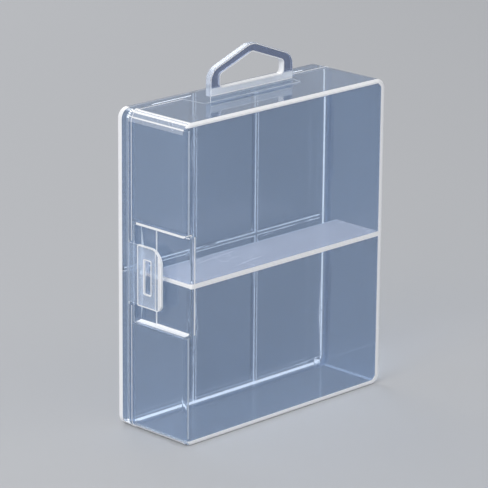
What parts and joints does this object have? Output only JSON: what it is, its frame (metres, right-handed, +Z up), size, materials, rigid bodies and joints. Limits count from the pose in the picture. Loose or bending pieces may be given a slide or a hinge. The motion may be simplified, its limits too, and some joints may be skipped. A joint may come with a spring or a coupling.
{
  "type": "battery storage case",
  "caption": "Upright clear plastic case: deep tray with a fixed shelf, shallow hinged lid, snap latch flap and a fold-over hanging handle.",
  "frame": {"origin": "middle of the flat bottom face that the closed case stands on, midway between its front and back faces", "axes": "+Z up to the handle, +X to the hinge side, +Y back to the lid"},
  "size_m": [0.1661, 0.0542, 0.2137],
  "materials": {
    "tray_polypropylene": "clear moulded polypropylene, glossy, slightly milky",
    "lid_polypropylene": "clear moulded polypropylene, glossy, slightly milky",
    "latch_polypropylene": "clear moulded polypropylene, satin",
    "film_polypropylene": "thin folded polypropylene film",
    "hanger_polypropylene": "clear moulded polypropylene, satin faces and bright edges",
    "pin_polypropylene": "clear moulded polypropylene"
  },
  "bodies": {
    "tray": {"tray": "tray_polypropylene", "upper_hinge_pin": "pin_polypropylene", "lower_hinge_pin": "pin_polypropylene"},
    "lid": {"lid": "lid_polypropylene", "latch_film": "film_polypropylene", "hanger_film": "film_polypropylene"},
    "latch": {"latch_flap": "latch_polypropylene"},
    "hanger": {"hanger": "hanger_polypropylene"}
  },
  "joints": [
    {"name": "lid_hinge", "type": "hinge", "parent": "tray", "child": "lid", "pos_m": [0.0825, 0.0179, 0.0927], "axis": [0, 0, -1], "range_deg": [0, 180]},
    {"name": "latch_hinge", "type": "hinge", "parent": "lid", "child": "latch", "pos_m": [-0.07965, 0.01415, 0.0927], "axis": [0, 0, -1], "range_deg": [0, 120], "deforming": ["latch_film"]},
    {"name": "hanger_hinge", "type": "hinge", "parent": "lid", "child": "hanger", "pos_m": [0, 0.00185, 0.1867], "axis": [1, 0, 0], "range_deg": [0, 90], "stiffness_Nm_per_rad": 0.01, "deforming": ["hanger_film"]}
  ]
}
